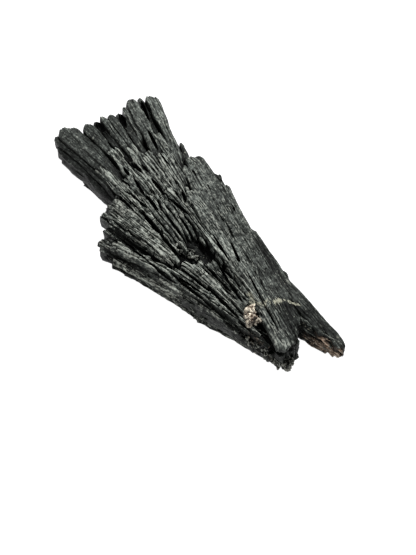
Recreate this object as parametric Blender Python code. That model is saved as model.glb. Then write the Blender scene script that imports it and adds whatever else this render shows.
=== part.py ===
"""A black kyanite fan lying on its flat side: blades that spread from one root, and a crumb of matrix.

The frame is in metres, +Z up. +X runs from the broken, fanned ends to the root tip, +Z is up through
the thin way of the fan, and the origin is the middle of the footprint, on the surface it rests on.
All the tables below are in millimetres and degrees.
"""
import bpy
import bmesh
from collections import namedtuple
from math import cos, radians, sin
from mathutils import Matrix, Vector

MM = 0.001
FAN = "kyanite_fan"
CRUMB = "matrix_crumb"

# The upper side is one low roof: a crest that runs the length of the fan, with a slope on each side.
CREST_HEIGHT = 11.5
CREST_TOP_X = 6.0
CREST_SAG = 3.8          # how far the crest has dropped CREST_RUN away from its highest point
CREST_RUN = 40.0
CREST_Y = 3.0            # where the crest lies across the fan, as far as the root begins
ROOT_X = 36.0            # the crest has come back to the middle line here
FRONT_SLOPE = 0.22       # fall of the roof for each millimetre towards -Y
BACK_SLOPE = 0.30        # and towards +Y
BACK_SLOPE_FLAT = 0.20   # how much of the back slope is gone at the broom end
BROOM_X = -35.0

SIDES = 8                # a blade is a flattened eight-sided prism, with chamfered long edges
SIDE_LEAN = 4.5          # largest roll of a blade about its own length, in degrees
ROLL_STEP = 1.7          # phase from one blade's roll to the next, in radians
END_BREAK = -12.0        # lean of a broken end about its upper edge, in degrees: it undercuts
BED_LENGTH = 100.0       # the block that trims the underside flat
BED_WIDTH = 60.0
BED_DEPTH = 20.0
GAP = 0.35               # clear space between the crumb and the blades

# A blade runs from its broken front end to its tail. width is across its front, taper is its tail's
# width as a part of that, lift is its height over the roof, and depth is how far it reaches down.
Blade = namedtuple("Blade", "front tail width taper lift depth")

# The thick blades that carry the rest and make the underside. Most of them reach down to the bed.
CARRIERS = (
    Blade((-35.4, -6.0), (14, -5.0), 3.6, 0.9, -1.2, 3.9),
    Blade((-34.4, -2.6), (14, -2.5), 4.2, 0.9, -1.1, 5.6),
    Blade((-31.0, 1.4), (14, -0.5), 4.6, 0.9, -1.6, 6.6),
    Blade((-31.4, 6.6), (16, 1.5), 4.8, 0.9, -1.3, 7.2),
    Blade((-31.6, 12.0), (18, 3.0), 4.6, 0.9, -1.2, 6.8),
    Blade((-14.4, -7.6), (24, -1.8), 4.2, 0.8, -1.8, 7.0),
    Blade((-10.4, -10.2), (30, -0.4), 5.0, 0.7, -1.8, 6.8),
    Blade((-7.4, -12.8), (31, -0.7), 4.0, 0.7, -3.2, 5.0),
    Blade((-17.0, 1.5), (30, -0.4), 6.4, 0.6, -1.8, 10.4),
    Blade((-13.0, 8.4), (33, 0.4), 6.2, 0.6, -1.4, 9.4),
    Blade((-4.0, 9.8), (29, 5.6), 4.6, 0.8, -1.3, 8.2),
    Blade((3.0, -4.4), (32, -0.6), 6.4, 0.7, -2.4, 9.0),
    Blade((-8.0, -8.8), (17, -5.4), 3.0, 1.0, -1.3, 5.4),
)

# The broom: the long blades whose ends fan out furthest, from the front edge to the back edge.
BROOM = (
    Blade((-33.8, -8.2), (-14, -7.0), 1.6, 1.0, -1.9, 2.6),
    Blade((-35.0, -7.7), (-12, -6.8), 1.5, 1.0, -0.9, 3.2),
    Blade((-37.4, -6.8), (-12, -6.2), 1.6, 0.9, -0.4, 3.4),
    Blade((-38.6, -5.3), (-9, -5.2), 1.8, 0.8, 0.0, 3.8),
    Blade((-38.0, -3.7), (-9, -4.0), 1.8, 0.8, 0.1, 3.8),
    Blade((-35.2, -2.2), (-9, -2.9), 1.7, 0.8, 0.0, 3.8),
    Blade((-35.4, -0.5), (-12, -1.5), 1.6, 0.8, -0.4, 3.6),
    Blade((-34.8, 2.3), (-12, 0.3), 1.5, 0.9, -0.2, 3.6),
    Blade((-33.8, 4.2), (-12, 1.5), 1.5, 0.9, -0.3, 3.6),
    Blade((-34.0, 7.4), (-12, 3.0), 1.6, 0.9, 0.1, 3.6),
    Blade((-35.4, 9.4), (-12, 4.3), 1.8, 0.9, 0.2, 3.8),
    Blade((-35.0, 10.9), (-12, 5.6), 1.6, 0.9, 0.0, 3.8),
    Blade((-35.0, 12.5), (-24, 9.2), 0.9, 0.9, -0.9, 3.2),
    Blade((-34.2, 13.7), (-11, 6.9), 1.6, 1.0, 0.0, 3.8),
    Blade((-33.4, 15.0), (-11, 8.1), 1.6, 1.0, 0.2, 3.6),
    Blade((-30.4, 14.9), (-11, 9.0), 1.2, 1.0, -0.5, 3.2),
    Blade((-19.2, 12.2), (-9, 8.9), 1.3, 2.2, -0.6, 3.0),
)

# The terrace: shorter blades that lie over the broom, broken off in steps.
TERRACE = (
    Blade((-23.6, -4.9), (-2, -4.8), 1.9, 0.8, 0.3, 2.6),
    Blade((-25.4, -1.2), (-2, -2.8), 1.9, 0.7, 0.4, 2.6),
    Blade((-20.6, 0.2), (-2, -1.4), 1.7, 0.7, 0.3, 2.6),
    Blade((-20.2, 2.8), (-1, 0.4), 1.7, 0.7, 0.3, 2.6),
    Blade((-20.4, 5.4), (-1, 2.2), 1.9, 0.8, 0.3, 2.6),
    Blade((-18.6, 7.7), (1, 3.8), 1.9, 0.9, 0.2, 2.6),
    Blade((-16.0, -5.5), (0, -4.8), 1.7, 0.8, 0.9, 3.0),
    Blade((-15.6, -7.2), (1, -5.6), 1.5, 0.8, 0.2, 3.0),
)

# The pipes: thin parallel blades with dark gaps between them, which run down into the pit.
PIPES = (
    Blade((-14.8, -4.0), (3.2, -4.4), 1.0, 0.8, 0.6, 3.0),
    Blade((-14.1, -2.6), (4.0, -3.5), 1.0, 0.8, 0.5, 3.0),
    Blade((-11.1, -1.6), (4.2, -2.6), 1.0, 0.8, 0.6, 3.0),
    Blade((-9.6, -0.3), (4.0, -1.7), 1.0, 0.8, 0.6, 3.0),
    Blade((-9.0, 1.0), (4.0, -0.8), 1.0, 0.8, 0.5, 3.0),
)

# The lobe: the blades of the front side, with their own broken front, turned further to -Y.
LOBE = (
    Blade((-15.1, -9.0), (3.5, -5.0), 1.7, 0.9, 0.2, 4.4),
    Blade((-13.2, -10.0), (3.5, -6.0), 1.7, 0.9, 0.2, 4.4),
    Blade((-5.8, -8.6), (6.0, -6.2), 2.2, 0.9, 0.7, 3.0),
    Blade((-15.4, -10.6), (3.0, -7.6), 1.2, 0.9, -1.6, 3.4),
    Blade((-11.6, -11.2), (6.0, -7.4), 1.2, 0.9, 0.0, 3.6),
    Blade((-12.2, -12.3), (9.0, -8.0), 1.2, 0.9, -1.6, 3.4),
    Blade((-6.8, -13.0), (20, -4.6), 1.7, 0.7, 0.1, 3.4),
    Blade((-10.4, -13.6), (12, -7.8), 1.3, 0.9, -1.9, 3.4),
    Blade((1.0, -10.4), (26, -3.6), 1.3, 0.7, -0.2, 3.6),
    Blade((3.6, -9.0), (26, -3.0), 1.2, 0.7, 0.0, 3.6),
    Blade((6.0, -7.6), (27, -2.6), 1.2, 0.8, 0.0, 3.6),
)

# The edge blades make the front side of the fan, and their upright outer faces show.
EDGE = (
    Blade((-11.0, -14.5), (17, -6.8), 2.3, 0.95, -1.7, 4.4),
    Blade((15.0, -6.9), (31.6, -1.5), 1.9, 1.0, -3.9, 4.4),
    Blade((9.0, -8.0), (30, -2.0), 1.6, 1.0, -1.2, 5.6),
)

# The tier beyond the pit: its broken ends face the pipes over it.
TIER = (
    Blade((4.6, -7.0), (26, -2.8), 1.4, 0.8, -0.1, 4.0),
    Blade((5.8, -5.8), (27, -2.3), 1.5, 0.8, 0.1, 4.0),
    Blade((7.4, -4.2), (28, -1.8), 1.8, 0.8, 0.3, 4.0),
    Blade((9.2, -1.4), (28, -1.0), 1.4, 0.9, 0.1, 4.0),
)

# The back: broad smooth blades that end in the root tip, and the crest blade beside the pipes.
BACK = (
    Blade((-9.6, 2.0), (24, 0.2), 2.0, 0.9, 0.6, 4.0),
    Blade((-6.6, 5.2), (32.8, -1.6), 2.8, 1.0, 0.4, 5.0),
    Blade((-12.4, 9.0), (33.6, 0.2), 3.0, 0.8, 0.1, 5.0),
    Blade((-14.2, 11.2), (32.6, 1.4), 3.4, 0.7, 0.1, 5.4),
    Blade((-12.6, 12.6), (26.0, 5.6), 2.4, 1.0, -0.3, 5.0),
    Blade((-8.4, 13.0), (24, 7.0), 2.0, 1.0, -0.3, 5.0),
    Blade((-4.8, 13.0), (12, 9.4), 1.8, 1.0, -0.5, 5.0),
    Blade((7.2, 10.6), (24, 9.0), 1.6, 1.0, -0.5, 5.0),
)

# The prong: a bundle of its own at the back, almost parallel to X, past a notch from the root tip.
# These run the other way, with their broken ends at +X.
PRONG = (
    Blade((38.6, 8.7), (6, 9.3), 2.5, 1.0, -0.2, 5.4),
    Blade((37.9, 7.7), (10, 7.6), 2.4, 1.1, -0.7, 5.6),
    Blade((34.4, 6.8), (14, 5.8), 2.4, 1.1, -2.0, 4.8),
)

# The blocky end of the root, under the blunt ends of the back blades, also with its ends at +X.
ROOT = (
    Blade((34.4, -0.6), (20, -1.4), 3.2, 1.2, -1.8, 7.4),
    Blade((33.4, 1.4), (20, 0.6), 2.6, 1.2, -0.9, 7.6),
    Blade((32.4, -2.0), (20, -3.6), 2.0, 1.4, -1.4, 7.2),
)

# The matrix crumb: lumps of pale grains, as their place and the half of their size each way.
Lump = namedtuple("Lump", "place size turn")
CRUMB_LUMPS = (
    Lump((23.6, -2.4, 10.2), (1.4, 1.3, 1.1), 35),
    Lump((22.2, -1.1, 10.1), (1.3, 1.1, 1.0), -20),
    Lump((24.5, -3.8, 9.9), (1.0, 1.0, 0.9), 10),
    Lump((25.0, -1.9, 9.9), (1.0, 0.8, 0.8), 60),
)

COLOURS = {FAN: (0.055, 0.060, 0.057, 1.0), CRUMB: (0.42, 0.36, 0.28, 1.0)}


def roof(x, y):
    """Height of the fan's upper side at a place, in millimetres."""
    crest = CREST_HEIGHT - CREST_SAG * ((x - CREST_TOP_X) / CREST_RUN) ** 2
    crest_y = CREST_Y * min(1.0, (ROOT_X - x) / (ROOT_X - CREST_TOP_X))
    if y < crest_y:
        return crest - FRONT_SLOPE * (crest_y - y)
    flat = BACK_SLOPE_FLAT * min(1.0, max(0.0, x / BROOM_X))
    return crest - (BACK_SLOPE - flat) * (y - crest_y)


def clear_scene():
    """Remove what a new file holds."""
    for thing in list(bpy.data.objects):
        bpy.data.objects.remove(thing, do_unlink=True)


def new_collection(name):
    """A collection of the scene."""
    collection = bpy.data.collections.new(name)
    bpy.context.scene.collection.children.link(collection)
    return collection


def make_material(name):
    """A part's material: its colour from the table, with a satin, non-metallic finish."""
    material = bpy.data.materials.new(name)
    material.use_nodes = True
    shader = material.node_tree.nodes["Principled BSDF"]
    shader.inputs["Base Color"].default_value = COLOURS[name]
    shader.inputs["Roughness"].default_value = 0.5
    shader.inputs["Metallic"].default_value = 0.0
    return material


def add_object(name, bm, collection, material):
    """Put a bmesh in the scene as an object, and free it."""
    mesh = bpy.data.meshes.new(name)
    bm.to_mesh(mesh)
    bm.free()
    mesh.materials.append(material)
    thing = bpy.data.objects.new(name, mesh)
    collection.objects.link(thing)
    return thing


def hide_as_cutter(thing):
    """A cutter shows as wire, and isn't part of the object."""
    thing.hide_render = True
    thing.display_type = "WIRE"


def blade_bmesh(blade, roll):
    """One blade: a flattened eight-sided prism from its tail to its leaning, broken front end."""
    front = Vector((*blade.front, roof(*blade.front) + blade.lift))
    tail = Vector((*blade.tail, roof(*blade.tail) + blade.lift))
    length = (front - tail).length
    bm = bmesh.new()
    bmesh.ops.create_cone(bm, cap_ends=True, segments=SIDES, radius1=1.0, radius2=1.0, depth=length)
    bmesh.ops.rotate(bm, verts=bm.verts, matrix=Matrix.Rotation(radians(180 / SIDES), 3, "Z"))
    flat = cos(radians(180 / SIDES))
    for end, width in ((1.0, blade.width), (-1.0, blade.width * blade.taper)):
        ring = [v for v in bm.verts if v.co.z * end > 0]
        half = (blade.depth / 2 / flat, width / 2 / flat, 1.0)
        bmesh.ops.scale(bm, vec=half, verts=ring)
        if end > 0:
            lean = Matrix.Rotation(radians(END_BREAK), 3, "Y")
            bmesh.ops.rotate(bm, verts=ring, cent=(blade.depth / 2, 0, length / 2), matrix=lean)
    bmesh.ops.rotate(bm, verts=bm.verts, matrix=Matrix.Rotation(roll, 3, "Z"))
    along = (front - tail).normalized()
    across = Vector((0, 0, 1)).cross(along).normalized()
    up = along.cross(across)
    place = Matrix((up, across, along)).transposed().to_4x4()
    place.translation = (front + tail) / 2 - up * blade.depth / 2
    bmesh.ops.transform(bm, matrix=place, verts=bm.verts)
    bmesh.ops.scale(bm, vec=(MM, MM, MM), verts=bm.verts)
    return bm


def lump_bmesh(lump, extra):
    """One lump of the crumb as a faceted ball, larger by extra all round."""
    bm = bmesh.new()
    bmesh.ops.create_icosphere(bm, subdivisions=2, radius=1.0)
    bmesh.ops.scale(bm, vec=[half + extra for half in lump.size], verts=bm.verts)
    turn = Matrix.Rotation(radians(lump.turn), 3, "Z") @ Matrix.Rotation(radians(lump.turn), 3, "X")
    bmesh.ops.rotate(bm, verts=bm.verts, matrix=turn)
    bmesh.ops.translate(bm, vec=lump.place, verts=bm.verts)
    bmesh.ops.scale(bm, vec=(MM, MM, MM), verts=bm.verts)
    return bm


def add_boolean(thing, name, operation, collection):
    """Join a collection's pieces to an object, or take them away from it."""
    boolean = thing.modifiers.new(name, "BOOLEAN")
    boolean.operation = operation
    boolean.operand_type = "COLLECTION"
    boolean.collection = collection
    boolean.solver = "EXACT"
    boolean.use_self = operation == "UNION"


def make_fan(parts):
    """All the blades joined in one solid, with the crumb's pocket, and trimmed flat where it rests."""
    material = make_material(FAN)
    rows = (CARRIERS, BROOM, TERRACE, PIPES, LOBE, EDGE, TIER, BACK, PRONG, ROOT)
    blades = [blade for row in rows for blade in row]
    fan = add_object(FAN, blade_bmesh(blades[0], 0.0), parts, material)
    grown = new_collection("grown_blades")
    for number, blade in enumerate(blades[1:], start=1):
        roll = radians(SIDE_LEAN) * sin(number * ROLL_STEP)
        hide_as_cutter(add_object(f"blade_{number:03d}", blade_bmesh(blade, roll), grown, material))
    trims = new_collection("trims")
    hide_as_cutter(add_object("bed", bed_bmesh(), trims, material))
    for number, lump in enumerate(CRUMB_LUMPS):
        hide_as_cutter(add_object(f"pocket_{number}", lump_bmesh(lump, GAP), trims, material))
    add_boolean(fan, "grow_together", "UNION", grown)
    add_boolean(fan, "rest_flat", "DIFFERENCE", trims)


def make_crumb(parts):
    """The pale crumb that sits in a pocket between the blades."""
    material = make_material(CRUMB)
    crumb = add_object(CRUMB, lump_bmesh(CRUMB_LUMPS[0], 0.0), parts, material)
    lumps = new_collection("crumb_lumps")
    for number, lump in enumerate(CRUMB_LUMPS[1:], start=1):
        hide_as_cutter(add_object(f"lump_{number}", lump_bmesh(lump, 0.0), lumps, material))
    add_boolean(crumb, "join_lumps", "UNION", lumps)


def bed_bmesh():
    """The block under the fan that its underside is trimmed to."""
    bm = bmesh.new()
    bmesh.ops.create_cube(bm, size=1.0)
    bmesh.ops.scale(bm, vec=(BED_LENGTH * MM, BED_WIDTH * MM, BED_DEPTH * MM), verts=bm.verts)
    bmesh.ops.translate(bm, vec=(0, 0, -BED_DEPTH * MM / 2), verts=bm.verts)
    return bm


def main():
    clear_scene()
    parts = new_collection("black_kyanite_fan")
    make_fan(parts)
    make_crumb(parts)


main()
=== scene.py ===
# A black kyanite fan on a pale floor: the looks of its blades and its crumb of matrix.
# Lengths in the tables are millimetres. +X runs to the root tip, -X to the fanned ends, +Z is up.
import bpy
import bmesh
import numpy as np
from collections import namedtuple
from math import cos, pi, radians, sin
from mathutils import Matrix, Vector, noise
from mathutils.bvhtree import BVHTree
from types import SimpleNamespace


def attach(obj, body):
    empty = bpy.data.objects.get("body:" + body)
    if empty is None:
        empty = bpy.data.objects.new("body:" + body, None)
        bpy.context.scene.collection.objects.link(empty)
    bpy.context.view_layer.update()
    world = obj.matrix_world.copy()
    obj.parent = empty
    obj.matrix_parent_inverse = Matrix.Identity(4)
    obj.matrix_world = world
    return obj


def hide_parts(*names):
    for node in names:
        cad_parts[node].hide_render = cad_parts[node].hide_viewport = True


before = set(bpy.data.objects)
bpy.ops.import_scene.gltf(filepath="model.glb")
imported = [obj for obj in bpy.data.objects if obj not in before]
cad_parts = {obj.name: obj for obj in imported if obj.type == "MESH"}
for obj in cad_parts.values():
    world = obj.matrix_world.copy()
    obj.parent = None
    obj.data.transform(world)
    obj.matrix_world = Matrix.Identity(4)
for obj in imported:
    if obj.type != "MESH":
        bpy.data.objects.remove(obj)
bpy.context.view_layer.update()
mm = 0.001
print("frame loaded")


class Wire:
    # wraps a socket, so that shader maths is written as sums
    def __init__(self, tree, socket=None):
        self.tree = tree
        self.socket = socket

    def node(self, kind, settings=None, inputs=None, output=0):
        made = self.tree.nodes.new(kind)
        for name, value in (settings or {}).items():
            setattr(made, name, value)
        for name, value in (inputs or {}).items():
            if isinstance(value, Wire):
                self.tree.links.new(value.socket, made.inputs[name])
            else:
                made.inputs[name].default_value = value
        return Wire(self.tree, made.outputs[output])

    def maths(self, operation, first, second):
        return self.node("ShaderNodeMath", {"operation": operation}, {0: first, 1: second})

    def __add__(self, other):
        return self.maths("ADD", self, other)

    def __radd__(self, other):
        return self.maths("ADD", other, self)

    def __sub__(self, other):
        return self.maths("SUBTRACT", self, other)

    def __rsub__(self, other):
        return self.maths("SUBTRACT", other, self)

    def __mul__(self, other):
        return self.maths("MULTIPLY", self, other)

    def __rmul__(self, other):
        return self.maths("MULTIPLY", other, self)

    def __truediv__(self, other):
        return self.maths("DIVIDE", self, other)

    def __rtruediv__(self, other):
        return self.maths("DIVIDE", other, self)

    def __rpow__(self, other):
        return self.maths("POWER", other, self)

    def ramp(self, low, high):
        # 0 below low, 1 above high
        return self.node("ShaderNodeMapRange", {"clamp": True, "interpolation_type": "SMOOTHSTEP"},
                         {"Value": self, "From Min": low, "From Max": high})

    def stretched(self, x, y, z):
        return self.node("ShaderNodeVectorMath", {"operation": "MULTIPLY"}, {0: self, 1: (x, y, z)})

    def grain(self, detail, roughness, scale=1.0):
        # noise read at this vector
        return self.node("ShaderNodeTexNoise", {}, {
            "Vector": self, "Scale": scale, "Detail": detail, "Roughness": roughness})

    def tinted(self, colour):
        # this number times a colour
        return self.node("ShaderNodeVectorMath", {"operation": "SCALE"}, {0: colour, "Scale": self})

    def mixed(self, mask, colour):
        # this colour, with another laid over it where the mask is 1
        return self.node("ShaderNodeMix", {"data_type": "RGBA"}, {0: mask, 6: self, 7: colour}, 2)

    def numbers(self):
        split = self.node("ShaderNodeSeparateXYZ", {}, {0: self})
        return [Wire(self.tree, output) for output in split.socket.node.outputs]

    def vertexValues(self, *names):
        return {name: self.node("ShaderNodeAttribute", {"attribute_name": name}, {}, "Fac")
                for name in names}

    def uvMap(self, name):
        return self.node("ShaderNodeUVMap", {"uv_map": name})

    def inMillimetres(self):
        return self.node("ShaderNodeTexCoord", {}, {}, "Object").stretched(1 / mm, 1 / mm, 1 / mm)


def newMaterial(name):
    material = bpy.data.materials.new(name)
    material.use_nodes = True
    shader = material.node_tree.nodes["Principled BSDF"]
    return material, shader, Wire(material.node_tree)


def plug(wire, shader, name):
    wire.tree.links.new(wire.socket, shader.inputs[name])


def addUp(wires, shares, total=0.0):
    # adds each value, less its middle and times its weight; wear may add to the weight
    for name, (middle, weight, *byWear) in shares.items():
        if byWear:
            weight = wires["wear"] * byWear[0] + weight
        total = total + (wires[name] - middle) * weight
    return total


def show(name, data):
    # puts a mesh, a lamp or a camera in the scene
    thing = bpy.data.objects.new(name, data)
    bpy.context.scene.collection.objects.link(thing)
    return thing


def meshFrom(bm, name):
    mesh = bpy.data.meshes.new(name)
    bm.to_mesh(mesh)
    bm.free()
    return mesh


def readVertices(mesh, what):
    # "co" gives the places of the vertices, "normal" which way they face
    values = np.empty(len(mesh.vertices) * 3)
    mesh.vertices.foreach_get(what, values)
    return values.reshape(-1, 3)


def keepValues(mesh, name, values):
    # one number for each vertex, for the material to read
    mesh.attributes.new(name, "FLOAT", "POINT").data.foreach_set("value", values)


# A blade is a bundle of strands side by side, from its broken front to its tail. width is across the
# front, taper is the tail's width as a part of that, lift is its height over the roof, depth how far
# it reaches down, fill how much of its pitch a strand takes, relief how rough its top is, and tone
# how pale it is.
Blade = namedtuple("Blade", "front tail width taper lift depth strands fill relief tone")

# A crack opens along a line; lift is where its widest part is over the roof.
Crack = namedtuple("Crack", "start end width depth lift")

# A wall is a side that splinters lie along: its line, how high it starts and ends, and its splinters.
Wall = namedtuple("Wall", "line low high count length tone")

# A bed of broken lumps lies along a line, between two heights.
Bed = namedtuple("Bed", "start end low high spread size count tone")

# How strands are finished: how far their tails sink, how streaked they look, how much of their
# width their noses are rounded by, and how coarse their mesh is.
Row = namedtuple("Row", "sink streak nose coarse")

# Chips shed along the blades of some rows: how many, how long and wide, how far they stand up, and
# how they are finished.
Shed = namedtuple("Shed", "count length width lift rows finish")

# A stain lies along a line and fades out at reach. It may keep between two depths below the roof.
Stain = namedtuple("Stain", "start end reach strength below deepest", defaults=(-9, 99))


def table(kind, rows, *shared):
    # the first four numbers of a row are x and y at the two ends of its line
    return [kind(row[:2], row[2:4], *row[4:], *shared) for row in rows]


mainRows = ("terrace", "pipes", "lobe", "tier", "back")

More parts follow.
